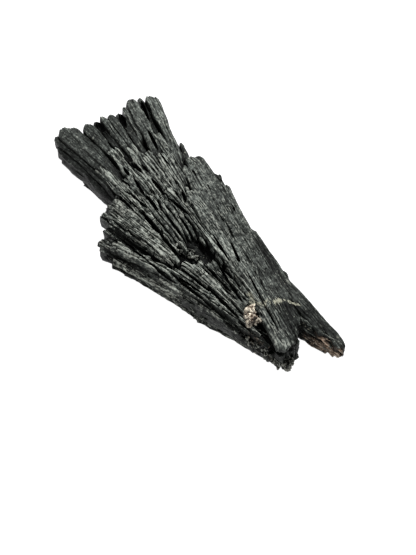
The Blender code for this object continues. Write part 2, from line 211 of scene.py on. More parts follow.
kyaniteFan = {
    "seed": 11,
    "crestHeight": 11.5, "crestTopX": 6, "crestSag": 3.8,
    "crestRun": 40, "crestY": 3, "crestRound": 1.5,
    "heightLimit": 11.84, "rootX": 36,
    "frontSlope": 0.22, "backSlope": 0.3, "backSlopeFlat": 0.2,
    "broomX": -35,
    "columnWidth": 0.2,  # one striation
    "columnLimits": (3, 16),
    "ringLength": 0.72,  # one step along a strand
    "ringLimits": (6, 75),
    "ringMultiple": 3,  # so that strands share meshes
    "leastRows": 3,
    "rowDepths": (3.2, 5),  # a strand as deep as each of these has one more row
    "crowding": 1.15,  # above 1, the steps are shorter near the front
    "grooveLength": 5,  # how far a groove runs before it fades
    "chipLength": 0.8,
    "chipShare": 0.8,  # chips against grooves
    "ragged": (0.1, 0.6),
    "endRound": (0.15, 0.5),
    "endReach": 1.1,  # how far from an end it still shows
    "noseCurve": 2.6,
    "pinch": (0.15, 0.5),  # how much narrower the front is, and over what length
    "swell": (0.1, 4),  # slow waves: how large, and how long
    "sway": (0.06, 3), "heave": (0.1, 6),
    "bow": 0.008, "tilt": 0.08,
    "lean": 0.6,  # how far a top follows the roof across its width
    "edgeRound": 0.45,
    "edgeShare": 0.4,  # the most of a width that an edge may round off
    "edgeDrop": 0.7,
    "sinkOver": (0.68, 0.32),  # where a tail starts to sink, and over how much of the length
    "sideLength": 3.5, "sideChips": 0.6, "sideRelief": 0.8,
    "sectionDown": (0, 0.2, 0.72, 1),  # how wide a strand is at four depths
    "sectionWide": (0.88, 1, 1, 0.62),
    "underside": (0.04, 0.12),
    "leastDepth": 0.5,
    "toneSpread": 0.12,
    "noiseSpread": 400,  # how far from each other strands read their noise
    "frontSpread": 0.4,  # how unevenly the strands of a blade end
    "tailSpread": 1.2, "liftSpread": 0.1, "bladeArch": 0.9,
    "alongBlade": (0.02, 0.9),  # where on a blade chips and pits may be
    "chipTaper": 0.7, "chipDepth": 1.6, "chipTurn": 0.03, "chipTone": 0.3,
    "flakes": Shed(160, (1, 4), (0.3, 0.8), (-0.1, 0.18), mainRows, Row(0, 0.8, 0.28, 1)),
    "blocks": Shed(76, (0.7, 2), (0.6, 1.3), (0.05, 0.35),
                   ("terrace", "terrace", "lobe", "tier", "back"), Row(0, 0.6, 0.08, 1)),
    "splinterWidth": (0.6, 1.5), "splinterTail": 0.8, "splinterDepth": (0.5, 1),
    "splinterRelief": 0.16, "splinterTone": 0.8, "splinterTilt": 0.2,
    "splinterRow": Row(0, 1.3, 0.28, 1.15),
    "pits": 110,
    "crossPits": 0.35,  # how many of the pits lie across their blade
    "crossTurn": (1.2, 1.9), "crossShorter": 0.45,
    "pitLength": (0.8, 3), "pitWidth": (0.15, 0.4), "pitDepth": (0.3, 0.7),
    "rockShape": (1, 0.8, 0.8), "rockRough": 0.22, "sharpAngle": 35,
    "skyRays": 20, "skyReach": 5, "edgeStep": 0.6,
    # noise along a strand: how fine across and along it, then detail and roughness
    "strandNoises": dict(streak=(2.6, 0.3, 5, 0.62), fine=(7, 1.3, 3, 0.6), grit=(4, 1.2, 1, 0.5)),
    # noise in place: detail, roughness and scale
    "placeNoises": dict(speck=(3, 0.7, 2.4), patches=(3, 0.55, 0.22), cloud=(3, 0.6, 0.9)),
    # what each value adds: its middle, its weight, and what wear adds to the weight
    # in the shade, exposure darkens the colour where a vertex sees little sky: painted shade in gaps and
    # recesses; edges lighten convex edges: edge wear and painted highlight
    "shadeFrom": dict(
        tone=(0, 1.1), streak=(0.5, 2.2, 6.4), fine=(0.5, 2.5, 5),
        speck=(0.5, 3.4, 5), patches=(0.5, 4.2), cloud=(0.5, 4),
        grit=(0.5, 4.2, 3), exposure=(0.75, 7), edges=(0, 1.6)),
    "shade": 0.0302,
    "paleShade": 1.1,  # how much the pale stains, and the painted shade in cracks and hollows, add to the tone
    "hue": (0.91, 1.01, 0.915, 1),
    "rustFrom": dict(cloud=(0.5, 2), streak=(0.5, 2.4)),
    "rustRamp": (0.5, 0.95), "rustWithin": (0, 0.3), "rustHue": (2.35, 1.68, 1.22, 1),
    # pale dust flecks, most on open tops, edges and broken ends, which also stand in for the crystals'
    # glints: dust and painted highlight
    "dustFrom": dict(
        speck=(0, 0.75), fine=(0, 0.75), cloud=(0.5, 0.5),
        exposure=(0.75, 0.4), tone=(0, 0.07), edges=(0, 0.14),
        ends=(0, 0.05), wear=(0.7, 0.1), grit=(0.5, 0.4)),
    "dustRamp": (0.86, 1.02), "dustCover": 0.6, "dustColour": (0.285, 0.285, 0.25, 1),
    "limeFrom": dict(speck=(0.5, 2.6), grit=(0.5, 1.6)),
    "limeRamp": (0.55, 0.9), "limeCover": 0.8, "limeColour": (0.37, 0.365, 0.285, 1),
    "roughness": 0.42, "roughSpeck": 0.5, "roughDust": 0.25, "specular": 0.06,
    "bumpStreak": 0.7,
    "bumpFrom": dict(fine=(0, 0.35), speck=(0, 0.4), grit=(0, 0.4)),
    "bumpHeight": 0.25,
    "rows": {
        "carriers": Row(0, 0.9, 0.28, 2), "broom": Row(1.8, 0.35, 0.4, 1.2),
        "terrace": Row(1.8, 0.5, 0.15, 1), "pipes": Row(1.6, 0.8, 0.25, 1),
        "lobe": Row(0.6, 0.9, 0.25, 1), "edge": Row(0, 1, 0.3, 1.1),
        "tier": Row(0.6, 0.7, 0.25, 1), "back": Row(0, 0.6, 0.3, 1.2),
        "prong": Row(1, 0.4, 0.4, 1.1), "prongWall": Row(0, 0.9, 0.2, 1),
        "root": Row(1, 0.8, 0.3, 1.2),
    },
    "carriers": table(Blade, [
        (-35.4, -6, 14, -5, 3.6, 0.9, -1.6, 3.9, 2),
        (-34.4, -2.6, 14, -2.5, 4.2, 0.9, -1.5, 5.6, 2),
        (-32.8, 1.6, 14, -0.5, 4.6, 0.9, -2.4, 6.6, 2),
        (-32.8, 6.8, 16, 1.5, 4.8, 0.9, -2.4, 7.2, 2),
        (-30.4, 11.4, 18, 3, 4, 0.9, -1.6, 6.8, 2),
        (-14.4, -7.6, 24, -1.8, 4.2, 0.8, -2.2, 7, 2),
        (-10.4, -10.2, 30, -0.4, 5, 0.7, -2.2, 6, 2),
        (-7.4, -12, 30, -0.5, 4, 0.7, -3.2, 3.6, 2),
        (-17, 1.5, 30, -0.4, 6.4, 0.6, -2.2, 10.4, 3),
        (-13, 8.4, 32, 0.4, 6.2, 0.6, -1.6, 9.4, 3),
        (-4, 9.4, 28, 5.4, 4.4, 0.7, -1.5, 8.2, 2),
        (3, -4.4, 30.6, -0.6, 6, 0.6, -2.6, 9, 3),
        (-8, -8.8, 17, -5.4, 3, 1, -1.6, 5.4, 2),
    ], 1.2, 0.1, -1.2),
    "broom": table(Blade, [
        (-34.6, -7.9, -14, -6.7, 1.4, 1, -2.2, 2.6, 1, 1.1, 0.1, -2.2),
        (-36.4, -7.7, -12, -6.7, 1.5, 1, -1.2, 3.2, 1, 1, 0.11, -1.6),
        (-38.5, -6.9, -12, -6.1, 1.6, 0.9, -0.25, 3.4, 1, 1, 0.09, -1.3),
        (-38.9, -5.2, -14, -4.9, 3.4, 0.8, 0.1, 3.8, 1, 1, 0.04, -0.9),
        (-37.6, -3.4, -16, -3.2, 2.9, 0.8, 0.12, 3.6, 1, 1, 0.04, -0.9),
        (-35.9, -0.8, -18, -1.6, 2.5, 0.8, -0.2, 3.6, 1, 1, 0.05, -1),
        (-35.4, 1.2, -16, -0.3, 1.9, 0.9, -0.8, 3, 1, 1, 0.05, -1.3),
        (-35.1, 2.9, -17, 0.8, 2, 0.8, -0.1, 3.6, 1, 1, 0.05, -0.8),
        (-34.5, 4.6, -17, 2.1, 1.9, 0.8, -0.2, 3.6, 1, 1, 0.05, -0.9),
        (-33.9, 6.3, -16, 3.4, 1.8, 0.9, -0.7, 3, 1, 1, 0.05, -1.1),
        (-34.6, 8.2, -22, 5, 1.4, 0.9, -0.2, 3.6, 1, 1, 0.08, 0),
        (-35.6, 10.6, -16, 5.3, 2.9, 0.9, 0.2, 3.8, 1, 1, 0.04, -0.6),
        (-35.2, 12.9, -20, 8, 1.2, 0.9, -0.6, 3.2, 1, 1, 0.05, -0.5),
        (-34, 14.5, -11, 7.2, 2.5, 0.9, 0.2, 3.8, 1, 1, 0.05, -0.4),
        (-33, 15.4, -20.5, 10.8, 1.6, 0.8, -0.1, 3.4, 1, 1, 0.06, -0.1),
        (-27.4, 12.9, -11, 8.6, 1, 1, -0.7, 3, 1, 1, 0.06, -0.3),
        (-19.5, 12.3, -9, 8.4, 1.1, 1.8, -0.7, 3, 1, 1.1, 0.06, -0.6),
    ]),
    "terrace": table(Blade, [
        (-24.4, -4.9, -8, -4.9, 2.6, 0.8, 0.15, 2.6, 3, 1, 0.12, 1.3),
        (-26.4, -0.9, -8, -1.8, 2.4, 0.8, 0.35, 2.6, 2, 0.98, 0.12, 1.2),
        (-20.8, 0.6, -6, -0.3, 1.7, 0.8, 0.25, 2.6, 2, 0.96, 0.14, 1.8),
        (-24.6, 2.6, -5, 0.7, 2, 0.9, 0.1, 2.6, 2, 1, 0.12, 1),
        (-20.8, 4, -4, 2, 2.2, 0.8, 0.25, 2.6, 3, 0.98, 0.14, 1.1),
        (-19, 6.2, -3, 3.4, 2.2, 0.9, 0.2, 2.6, 3, 0.96, 0.13, 1.4),
        (-24, 9, -6, 5.4, 2.2, 0.9, 0.15, 2.6, 2, 0.98, 0.1, 1),
        (-16.2, -5.5, 0, -4.8, 1.7, 0.8, 0.7, 3, 4, 0.85, 0.14, 1.9),
        (-18.6, -3.2, -4, -3.3, 1.6, 0.9, 0.2, 2.6, 2, 0.95, 0.14, 1.2),
        (-16.2, -7.2, 1, -5.6, 1.7, 0.8, 0.1, 3, 2, 0.95, 0.12, 0.8),
    ]),
    "pipes": table(Blade, [
        (-14.8, -4, 3.2, -4.6, 1, 0.8, 0.5, 3, 1, 0.68, 0.09, 0.5),
        (-12.1, -3, 3.6, -3.8, 1, 0.8, 0.5, 3, 1, 0.68, 0.09, 0.3),
        (-11.1, -2, 3.6, -3, 1, 0.8, 0.5, 3, 1, 0.68, 0.09, 0.5),
        (-8.6, -1, 3.6, -2.2, 1, 0.8, 0.5, 3, 1, 0.68, 0.09, 0.3),
        (-8, -0.1, 3.6, -1.4, 1, 0.8, 0.5, 3, 1, 0.68, 0.09, 0.5),
        (-8, 0.8, 4, -0.5, 1, 0.8, 0.4, 3, 1, 0.68, 0.09, 0.2),
        (-2.6, 1.1, 5.6, 0.3, 1, 0.8, 0.3, 3, 1, 0.8, 0.09, 0.3),
    ]),
    "lobe": table(Blade, [
        (-15.4, -8.2, 4.2, -5.1, 2, 0.8, 0.35, 4.4, 4, 0.98, 0.12, 1.4),
        (-14.2, -9.8, 4.4, -6.4, 2, 0.8, 0.2, 4.4, 4, 0.98, 0.12, 1.1),
        (-5.9, -8.9, 4.9, -6.8, 2.2, 0.9, 0.5, 3, 5, 0.95, 0.11, 1.5),
        (-16.6, -9, 0, -6, 1.7, 0.9, -1.4, 3.4, 2, 0.9, 0.1, -0.2),
        (-15.9, -10.9, 3, -7.6, 1.3, 0.9, -1.6, 3.4, 2, 0.8, 0.1, -0.1),
        (-12.6, -11.2, 6, -7.4, 1.2, 0.9, -0.3, 3.6, 2, 0.7, 0.1, 0.1),
        (-12.5, -12.3, 9, -8, 1.3, 0.9, -1.6, 3.4, 2, 0.8, 0.08, -0.3),
        (-7.6, -13.5, 7, -8.4, 1.8, 0.9, 0.2, 3.6, 3, 0.96, 0.14, 1.5),
        (3, -9.4, 24, -4.4, 1, 0.7, 0, 3.6, 1, 0.9, 0.1, 0.6),
        (-10.8, -13.4, 12, -7.8, 1.3, 0.9, -1.9, 3.4, 2, 0.8, 0.08, -0.4),
        (1, -10.6, 26, -3.9, 1.1, 0.7, -0.4, 3.6, 1, 0.8, 0.08, 0.2),
        (4, -10.5, 24, -5.5, 0.9, 0.8, -1.3, 3, 1, 0.9, 0.13, 0.7),
        (8, -9.5, 26, -4.6, 0.9, 0.8, -2, 3, 1, 0.9, 0.13, 0.3),
        (10, -9.2, 28, -3.9, 0.9, 0.8, -2.9, 3, 1, 0.9, 0.13, 0.6),
        (4.8, -8, 26, -3.4, 1.1, 0.7, 0, 3.6, 2, 0.66, 0.08, 0.4),
        (6, -6.9, 27, -2.9, 1.1, 0.8, 0, 3.6, 2, 0.66, 0.08, 0.4),
    ]),
    "edge": table(Blade, [
        (-10.7, -14.6, 17, -6.2, 2, 0.95, -1.7, 4.4, 2, 0.96, 0.08, -0.5),
        (-9.9, -15.1, 2, -11.3, 1.2, 0.6, -2.4, 3.8, 1, 1, 0.08, -0.6),
        (7, -8.6, 31, -0.8, 1.6, 1, -3.9, 4.4, 2, 1.2, 0.14, -0.2),
        (9, -8, 30, -1.9, 1.6, 1, -1.4, 5.6, 3, 0.85, 0.14, 0.1),
    ]),
    "tier": table(Blade, [
        (5.5, -5.7, 22, -3.4, 1.8, 0.5, 0.1, 4, 3, 1.03, 0.1, 1.1),
        (7, -3.7, 23, -2.3, 2, 0.5, 0.15, 4, 3, 1.03, 0.1, 1.3),
        (8.4, -1.5, 23, -1.3, 1.8, 0.7, 0.1, 4, 2, 0.97, 0.12, 1.1),
        (14, -5.6, 27, -2.9, 1, 0.8, -0.2, 3.6, 1, 0.8, 0.09, 0.4),
    ]),
    "back": table(Blade, [
        (-9.8, 2, 24, 0.2, 2, 0.9, 0.5, 4, 3, 0.97, 0.12, 0.6),
        (-6.8, 5, 33, -1.2, 2.9, 1.15, 0.4, 1.6, 1, 1.06, 0.09, 0.2),
        (-12.8, 9, 33, 0.5, 3.2, 0.8, 0.1, 2.4, 1, 1.04, 0.06, -0.2),
        (-14.6, 11, 32.4, 2, 3.4, 0.7, 0, 5.4, 1, 1, 0.06, -0.3),
        (-14.3, 12.5, 26, 5.4, 2.6, 1, -0.4, 5, 1, 1.1, 0.05, -0.2),
        (-8.8, 12.5, 24, 6.4, 2.2, 1, -0.4, 5, 1, 1.1, 0.05, -0.2),
        (-5.2, 12.8, 10, 8.2, 1.8, 1, -0.6, 5, 1, 1.1, 0.05, -0.2),
        (8.4, 10.3, 22, 8.5, 1.7, 1, -0.6, 5, 1, 1.1, 0.05, -0.8),
        (7.2, 10.1, 24, 8.1, 1.4, 1, -0.6, 5, 1, 1.1, 0.05, -0.2),
    ]),
    "prong": table(Blade, [
        (30, 4, 2, 8.4, 3.4, 1.1, -0.1, 6, 1, 1, 0.05, 0),
        (38, 9.4, 14, 8.2, 1.7, 1, -0.3, 4, 1, 1.1, 0.05, -1.2),
        (37.6, 8.7, 16, 7.4, 1.4, 1.2, -0.5, 3, 1, 1.1, 0.05, -1.2),
        (33.8, 7.5, 16, 6.2, 1.6, 1.3, -0.2, 1.4, 1, 1.1, 0.05, -1),
    ]),
    "prongWall": table(Blade, [
        (37.9, 9.3, 26.5, 4.9, 1.1, 1, -0.9, 1.1, 1, 1, 0.22, 1.2),
        (38, 9.3, 26.5, 4.5, 0.8, 1, -1.6, 0.8, 1, 1, 0.22, 1.1),
        (38.1, 9.3, 26.5, 4.7, 1.2, 1, -2.3, 1.2, 1, 1, 0.22, 0.8),
        (37.9, 9.2, 26.5, 4.4, 0.9, 1, -3.1, 0.9, 1, 1, 0.22, 1.6),
        (37.6, 9.1, 26.5, 4.2, 1.4, 1, -3.7, 1, 1, 1, 0.22, 1.7),
        (36.5, 8.8, 26.5, 4.1, 1.2, 1, -4.5, 0.9, 1, 1, 0.22, 1.8),
        (35.2, 7.9, 26.5, 4, 1.3, 1, -5, 1, 1, 1, 0.22, 1.4),
    ]),
    "root": table(Blade, [
        (32.8, -0.8, 20, -1.4, 2.8, 1.2, -2.6, 3, 2, 1.1, 0.14, -0.4),
        (33.2, 1.4, 20, 1.4, 2.2, 1.2, -0.8, 4, 2, 1.1, 0.12, -0.9),
        (32, 0.9, 20, 0.9, 3.4, 1, -4, 5, 3, 1.1, 0.16, 0.4),
        (30.8, -2.4, 20, -3.6, 1.6, 1.3, -1.4, 6.2, 2, 1.1, 0.14, -0.4),
    ]),
    "cracks": table(Crack, [
        (-35, 1.5, -31, 0.9, 1.7, 1.6, -0.3), (-34, 6.8, -28.6, 4.9, 1.4, 1.6, -0.3),
        (-34.2, 12.6, -26.4, 9.5, 1, 1.8, -0.3), (-28.4, -0.1, -25, -0.2, 0.7, 1.2, 0),
        (-27.2, 1.1, -20.7, 0.8, 0.5, 1.2, 0.1), (-26, -2.1, -20, -2.5, 0.8, 1.2, 0),
        (-20.3, -1.6, -17.5, -2, 0.8, 1.2, 0.2), (-20.4, 0.2, -16.1, 0.3, 0.9, 1.3, 0.2),
        (-18.4, 1.5, -15.4, 1.4, 0.7, 1.2, 0.2), (-24.5, 3.8, -20.4, 3.5, 0.5, 1.2, 0.1),
        (-14.1, 1, -8.5, 0.5, 1, 1.2, 0.1), (-16.7, -1.7, -11.4, -2.4, 0.7, 1.1, 0.1),
        (-11.8, -2.3, -6.2, -2.6, 0.8, 1.2, 0.1), (-18.8, -3.8, -15.4, -3.1, 0.7, 1.2, 0.2),
        (-17.5, -6.5, -9.7, -6.2, 0.6, 1.1, 0), (-15.5, -4.7, -8.6, -3.8, 0.7, 1.4, 0.4),
        (-7.7, 0.6, -1.6, 1.3, 0.7, 1.3, 0.3), (-19.2, 6.4, -13.9, 5.6, 0.6, 1.2, 0.1),
        (-25.2, 8.1, -19, 6.4, 0.8, 1.4, 0.1), (-14.9, 9.3, -11.6, 8.6, 0.6, 1, 0),
        (-11, 9, -9, 8.7, 0.6, 1, 0), (-8.2, 2.7, -4.8, 2, 0.5, 1, 0.3),
        (-9.6, -5.4, -0.8, -5.2, 0.9, 1.6, 0.3), (-2.4, -5.5, 6.2, -5.2, 0.9, 1.6, 0.2),
        (4.9, 2.3, 12.2, 1.1, 0.6, 1.4, 0.4), (8, 4.3, 13.6, 2.6, 0.7, 1.4, 0.3),
        (15.1, 2.7, 23.6, 0.8, 0.45, 1.2, 0.2), (22, 1.1, 28.6, -0.1, 0.45, 1.3, 0.2),
        (9.4, -0.4, 15.8, -1.5, 0.6, 1.4, 0.2), (14.6, -1.4, 20.4, -1.9, 0.6, 1.4, 0.1),
        (5, -6.9, 14.5, -5.3, 0.7, 1.6, 0.1), (12.8, -5.2, 22.5, -4.3, 0.8, 1.6, 0),
        (8, -2.8, 17.5, -2.3, 0.6, 1.5, 0.1), (-4.6, -14.3, 4.3, -12.5, 1, 1.6, -0.9),
        (5.5, -8.7, 15.2, -7.1, 0.8, 1.5, 0), (13.5, -7.5, 23.6, -5.1, 0.8, 1.5, 0),
        (11.8, -9.3, 19, -7.9, 0.8, 1.5, -0.8), (-10, -12.5, 1.5, -10.4, 0.7, 1.6, -0.1),
        (-11, -11.3, -3.8, -10.2, 0.7, 1.5, 0), (1.1, -10.6, 9, -8.9, 0.7, 1.5, 0),
        (29.6, -3.2, 34, 0.6, 3, 0.8, -2.3), (28.6, 4.4, 32.2, 6, 1.8, 0.9, -1.2),
        (29.6, 4.9, 34.4, 6.9, 1.5, 0.3, -3.2), (33.6, 6.6, 37.6, 8.4, 1.2, 0.25, -2.6),
    ]),
    "walls": [
        Wall(((-10.8, -14.8), (-9, -15.1), (-5.8, -14.9), (-1.8, -12.7), (2.5, -10.8),
              (6.9, -9.8), (12.5, -8.5), (16, -7.2)),
             2.1, 5.3, 40, (7, 18), 0.5),
        Wall(((12, -8.5), (15.5, -7.2), (21.3, -4.7), (25.5, -3.1), (28.4, -2.7), (31, -2.3)),
             1.9, 5, 34, (5, 14), 0.4),
        Wall(((-35, -7.3), (-33.4, -7.9), (-27.5, -7.5), (-21.6, -6.4), (-15, -6.2)),
             1.4, 3.8, 16, (5, 14), -2.2),
        Wall(((-27, 12.4), (-21, 10.4), (-14, 11.2), (-6, 11.5), (3, 10),
              (12, 9), (24, 7.2), (30, 7.6)),
             1.4, 5.8, 24, (6, 18), 0.2),
    ],
    "beds": table(Bed, [
        (29, -1.2, 33.1, -0.1, 1.4, 3.6, 0.8, (0.6, 1.1), 28, 0.9),
        (28.6, -2.8, 33.2, -0.9, 1.3, 3, 0.4, (0.6, 1), 26, 0.9),
        (31, 2.6, 32.6, 1.4, 1.4, 4, 0.5, (0.5, 0.9), 12, -0.9),
        (24.4, -5, 30.4, -2.8, 4.6, 6.6, 0.5, (0.4, 0.8), 24, 0.4),
        (2, -0.6, 7.4, -1.8, 7.9, 8.8, 1.2, (0.3, 0.7), 30, 0.9),
        (2.4, -4.2, 6.6, -2.4, 8.5, 9.3, 0.8, (0.3, 0.6), 28, 0.8),
    ]),
    # rows with a negative strength that keep below a depth, such as those along the broom's cracks, darken
    # what lies deep below the roof, in cracks, hollows and under ledges: painted shade; the other rows are
    # pale and dark stains
    "pale": table(Stain, [
        (-30.4, -4.5, -29.8, -4.6, 0.9, 0.9), (-26.4, -5.4, -25.4, -5.6, 0.8, 0.8),
        (-23.8, -5.6, -22, -5.4, 1, 0.3), (-27.3, 13, -24, 11.4, 0.7, 0.8),
        (-5, -7, 2.6, -6.1, 1.9, 0.6), (-5.4, -9, -5, -7.7, 0.45, 1.2),
        (-6.6, -13.2, 5.6, -9, 1, 0.4), (2, -11.9, 9, -9.6, 1.1, 1.4),
        (-13, -15, -4, -15.4, 2, -0.6, 0.9), (-18.5, 3.4, -9, 2.2, 2.2, 0.5),
        (-21, -4.8, -10, -4.2, 1.6, 0.4), (-16, -5.6, -13.6, -5, 0.9, 1),
        (3, 0.8, 11, 2.4, 1.6, 0.6), (4.8, -6.6, 8.6, -2.6, 0.5, 1.2),
        (7.2, -4.3, 7.6, -4.2, 0.4, 1.8), (5.3, -8.4, 5.9, -8.3, 0.4, 1.8),
        (-6.4, 4.4, -6.1, 6.2, 0.45, 1.2), (-6.1, 6.2, -4.2, 6.1, 0.45, 1.2),
        (29, -1.6, 32.2, -1.2, 0.8, 0.4, -9, 0.9), (14, 6.4, 28, 3.4, 3.6, -0.4),
        (22, 0.5, 31, 0, 1.8, -0.45, -9, 1.2), (10.4, 9.6, 17, 8.2, 1.3, -1.8),
        (26, 6, 33, 8, 1.6, -1, -9, 0.7), (34.4, 7.2, 37.6, 8.8, 1.3, 0.9, -9, 1.8),
        (33.4, 7.2, 35.8, 7, 0.9, -1.2, 1, 3.4), (38.6, 8.4, 37.6, 10, 0.9, -2, 0.4),
        (33, 6.6, 37.6, 8.4, 1.6, 0.8, 1.8), (28.6, 4.4, 31, 5.4, 1.2, -1.5, 0.7, 1.9),
        (26, 4.8, 32, 1.8, 2.4, -1.4, -9, 0.9), (28, -1.6, 34.4, -0.2, 2.8, -1.4, 1.3, 3),
        (-34.4, 1.4, -31, 0.9, 1.2, -2, 0.7), (-33.4, 6.7, -28.6, 4.9, 1.1, -2, 0.7),
        (-34, 12.5, -27, 9.8, 0.9, -2, 0.7), (4, -0.4, 9.4, 0, 1.8, -2, 0.9),
    ]),
    "crust": table(Stain, [
        (19.3, -0.2, 20.7, -0.1, 0.6, 0.8), (21.1, -0.9, 23.2, 0.4, 0.45, 1),
        (23.2, 1, 24, 4.2, 0.5, 1.1), (24, 4.2, 24.4, 5, 0.4, 0.7),
        (24.8, 5.5, 26.2, 7.2, 0.55, 0.9), (29.2, 5.2, 31.6, 6, 0.5, 0.4, 1.4, 2.4),
    ]),
    "brown": table(Stain, [
        (33, 6.8, 37.8, 9, 1.5, 1, 1.2), (30.6, 5.4, 32.4, 6.2, 0.9, 0.7, 3.4),
        (25.6, -4.6, 30.6, -2.6, 1, 0.4, 0.4),
    ]),
}
fan = SimpleNamespace(**kyaniteFan)


def roof(x, y):
    # height of the fan's upper side, in millimetres
    crest = fan.crestHeight - fan.crestSag * ((x - fan.crestTopX) / fan.crestRun) ** 2
    away = np.minimum(1.0, (fan.rootX - x) / (fan.rootX - fan.crestTopX))
    beyond = y - fan.crestY * away
    flat = fan.backSlopeFlat * np.clip(x / fan.broomX, 0.0, 1.0)
    front, back = fan.frontSlope, fan.backSlope - flat
    rounded = np.sqrt(beyond ** 2 + fan.crestRound ** 2)
    return crest - (back - front) / 2 * beyond - (back + front) / 2 * rounded


def addMaps(mesh):
    for name in ("grain", "tint", "wear"):
        mesh.uv_layers.new(name=name)


def fillMap(mesh, name, values):
    mesh.uv_layers[name].data.foreach_set("uv", values.ravel())


templates = {}


def lathTemplate(rings, columns, rows):
    # a box cut into a grid; its own coordinates say where a vertex is along, across and down a strand
    key = (rings, columns, rows)
    if key not in templates:
        bm = bmesh.new()
        bmesh.ops.create_cube(bm, size=2.0)
        for axis, pieces in enumerate(key):
            edges = [e for e in bm.edges if abs((e.verts[0].co - e.verts[1].co)[axis]) > 1.5]
            bmesh.ops.subdivide_edges(bm, edges=edges, cuts=pieces - 1, use_grid_fill=True)
        mesh = meshFrom(bm, "lath")
        addMaps(mesh)
        places = readVertices(mesh, "co")
        corners = np.empty(len(mesh.loops), dtype=np.int32)
        mesh.loops.foreach_get("vertex_index", corners)
        atFront = places[corners][:, 0] < -0.999
        onEnd = atFront.reshape(-1, 4).all(axis=1).repeat(4)
        templates[key] = (mesh, places, corners, onEnd)
    return templates[key]


def dice(*keys):
    # the random numbers of one part of the fan
    return np.random.default_rng((fan.seed, *keys))


def reliefAt(rng, along, lane, lanes, step):
    # smooth random values along each lane, with a knot at every step
    knots = rng.normal(0.0, 1.0, (int(along.max() / step) + 3, lanes))
    place = along / step
    low = place.astype(int)
    part = place - low
    part = part * part * (3 - 2 * part)
    return knots[low, lane] * (1 - part) + knots[low + 1, lane] * part


def slowWave(rng, along, wave):
    size, step = wave
    return size * reliefAt(rng, along, 0, 1, step)


def waysOf(front, tail):
    # the way from front to tail, and the way across it
    direction = (tail - front).normalized()
    return direction, Vector((-direction.y, direction.x))


def makeStrand(rng, name, front, tail, width, tailWidth, lift, depth, relief, tone, row,
               heights=None):
    # one lath, at its lift over the roof or between two heights
    length = (tail - front).length
    columns = int(np.clip(round(width / fan.columnWidth / row.coarse), *fan.columnLimits))
    multiple = fan.ringMultiple
    rings = round(length / fan.ringLength / row.coarse / multiple) * multiple
    rings = int(np.clip(rings, *fan.ringLimits))
    rows = fan.leastRows + sum(depth >= limit for limit in fan.rowDepths)
    mesh, places, corners, onEnd = lathTemplate(rings, columns, rows)
    mesh = mesh.copy()
    # s runs from 0 to 1 along the strand, t from -1 to 1 across it, h from 0 to 1 down it
    s = ((places[:, 0] + 1) / 2) ** fan.crowding
    t = places[:, 1]
    h = (1 - places[:, 2]) / 2
    column = np.round((t + 1) / 2 * columns).astype(int)
    layer = np.round(h * rows).astype(int)
    onSide = np.abs(t) > 0.99
    direction, across = waysOf(front, tail)
    dist = s * length
    # the broken end is ragged, and worn round
    jag = rng.uniform(0.0, 1.0, (columns + 1, rows + 1))[column, layer]
    blunt = jag * rng.uniform(*fan.ragged) + width * row.nose * np.abs(t) ** fan.noseCurve
    nearFront = np.exp(-dist / fan.endReach)
    nearTail = np.exp(-(length - dist) / fan.endReach)
    dist = dist + (nearFront - nearTail) * blunt
    half = width / 2 + (tailWidth - width) / 2 * s
    half = half * (1 + slowWave(rng, dist, fan.swell))
    pinch, pinchLength = fan.pinch
    half = half * (1 - pinch * np.exp(-dist / pinchLength))
    section = np.interp(h, fan.sectionDown, fan.sectionWide)
    rough = reliefAt(rng, dist, layer, rows + 1, fan.sideLength)
    rough = rough + fan.sideChips * reliefAt(rng, dist, layer, rows + 1, fan.chipLength)
    rough = np.where(onSide, np.sign(t) * rough * relief * fan.sideRelief, 0.0)
    side = t * half * section + rough
    bow = rng.normal(0.0, fan.bow) * length * 4 * s * (1 - s)
    bow = bow + slowWave(rng, dist, fan.sway)
    centreX = front.x + direction.x * dist
    centreY = front.y + direction.y * dist
    x = centreX + across.x * (side + bow)
    y = centreY + across.y * (side + bow)
    if heights is None:
        level = roof(centreX, centreY)
        level = level + fan.lean * (roof(x, y) - level) + lift
    else:
        level = heights[0] + (heights[1] - heights[0]) * s
    radius = min(fan.edgeRound, width * fan.edgeShare)
    fromEdge = half * (1 - np.abs(t))
    top = level - fan.edgeDrop * radius * np.clip(1 - fromEdge / radius, 0, 1) ** 2
    top = top + t * half * rng.normal(0.0, fan.tilt)
    top = top + slowWave(rng, dist, fan.heave)
    top = top - rng.uniform(*fan.endRound) * (nearFront ** 2 + nearTail ** 2)
    sinkFrom, sinkOver = fan.sinkOver
    top = top - row.sink * np.clip((s - sinkFrom) / sinkOver, 0, 1) ** 2
    grooves = reliefAt(rng, dist, column, columns + 1, fan.grooveLength)
    chips = reliefAt(rng, dist, column, columns + 1, fan.chipLength)
    top = top + np.where(h < 0.01, relief * (grooves + fan.chipShare * chips), 0.0)
    top = np.minimum(top, fan.heightLimit)
    lowest, uneven = fan.underside
    bottom = np.maximum(top - depth, lowest + uneven * np.abs(np.tanh(grooves)))
    bottom = np.maximum(np.minimum(bottom, top - fan.leastDepth), 0.0)
    z = top + (bottom - top) * h
    mesh.vertices.foreach_set("co", (np.stack([x, y, z], axis=1) * mm).ravel())
    # the grain runs on down the sides and over the broken end
    girth = np.where(onSide, np.sign(t) * (np.abs(t) * half + h * depth), t * half)
    grain = np.stack([girth, dist], axis=1)[corners] + rng.uniform(0, fan.noiseSpread, 2)
    grain[onEnd, 1] -= (h * depth)[corners][onEnd]
    tones = np.full(len(corners), tone + rng.normal(0.0, fan.toneSpread))
    fillMap(mesh, "grain", grain)
    fillMap(mesh, "tint", np.stack([tones, onEnd.astype(float)], axis=1))
    fillMap(mesh, "wear", np.full(len(corners) * 2, row.streak))
    mesh.update()
    return show(name, mesh)


